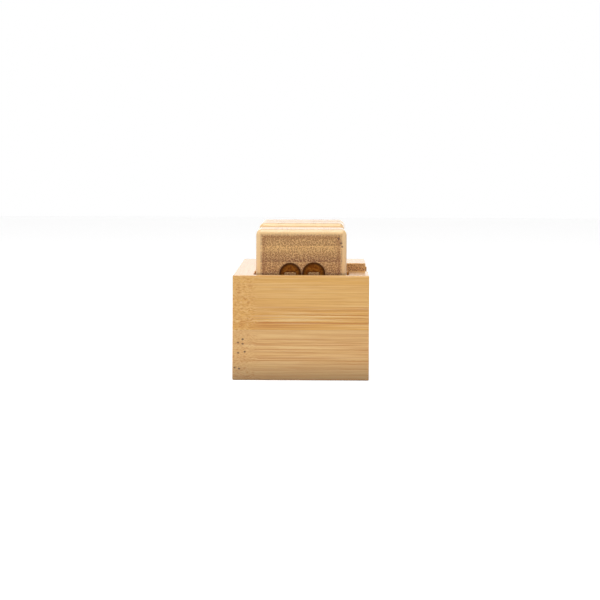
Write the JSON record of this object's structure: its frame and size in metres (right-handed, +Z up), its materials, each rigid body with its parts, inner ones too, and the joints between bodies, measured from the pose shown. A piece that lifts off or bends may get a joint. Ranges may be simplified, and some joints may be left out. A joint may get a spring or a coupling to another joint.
{
  "type": "wooden puzzle box",
  "caption": "Long open-topped bamboo case of loose burnt-mark cubes, with a sliding lid between them over a secret well, locked by gravity pins that magnets in the cubes lift.",
  "frame": {"origin": "on the table, under the middle of the case", "axes": "+Z up, +Y along the case from the end with one cube to the end with two, +X to the side that the lid slides out of"},
  "size_m": [0.06, 0.21, 0.066],
  "materials": {
    "case_bamboo": "golden bamboo, fine grain along each board, thin satin oil",
    "inner_bamboo": "plain bamboo, sanded, unfinished",
    "dowel_wood": "round beech pegs, glued",
    "bush_brass": "turned, satin",
    "lid_bamboo": "bamboo, end grain at the front and back, thin satin oil",
    "pin_steel": "bright",
    "cube_bamboo": "laminated bamboo, dotted end grain at the marked face, marks burnt dark brown",
    "magnet_nickel": "nickel plated"
  },
  "bodies": {
    "case": {"front_end_board": "case_bamboo", "rear_end_board": "case_bamboo", "left_side_board": "case_bamboo", "right_side_board": "case_bamboo", "floor_board": "inner_bamboo", "front_partition": "inner_bamboo", "rear_partition": "inner_bamboo", "front_seat_block": "inner_bamboo", "rear_seat_block": "inner_bamboo", "corner_dowels": "dowel_wood", "strike_bushes": "bush_brass"},
    "lid": {"sliding_lid": "lid_bamboo", "lid_pin_plugs": "lid_bamboo"},
    "front_pin": {"front_lock_pin": "pin_steel"},
    "rear_pin": {"rear_lock_pin": "pin_steel"},
    "front_block": {"front_cube": "cube_bamboo", "front_cube_magnet": "magnet_nickel", "front_cube_plug": "cube_bamboo"},
    "second_block": {"second_cube": "cube_bamboo", "second_cube_magnet": "magnet_nickel", "second_cube_plug": "cube_bamboo"},
    "rear_block": {"rear_cube": "cube_bamboo", "rear_cube_magnet": "magnet_nickel", "rear_cube_plug": "cube_bamboo"}
  },
  "joints": [
    {"name": "lid_slide", "type": "slide", "parent": "case", "child": "lid", "axis": [1, 0, 0], "range_m": [0, 0.052]},
    {"name": "front_pin_drop", "type": "slide", "parent": "lid", "child": "front_pin", "axis": [0, 0, -1], "range_m": [0, 0.0033]},
    {"name": "rear_pin_drop", "type": "slide", "parent": "lid", "child": "rear_pin", "axis": [0, 0, -1], "range_m": [0, 0.0033]},
    {"name": "front_cube_lift", "type": "slide", "parent": "case", "child": "front_block", "axis": [0, 0, 1], "range_m": [0, 0.045]},
    {"name": "second_cube_lift", "type": "slide", "parent": "case", "child": "second_block", "axis": [0, 0, 1], "range_m": [0, 0.045]},
    {"name": "rear_cube_lift", "type": "slide", "parent": "case", "child": "rear_block", "axis": [0, 0, 1], "range_m": [0, 0.045]}
  ]
}
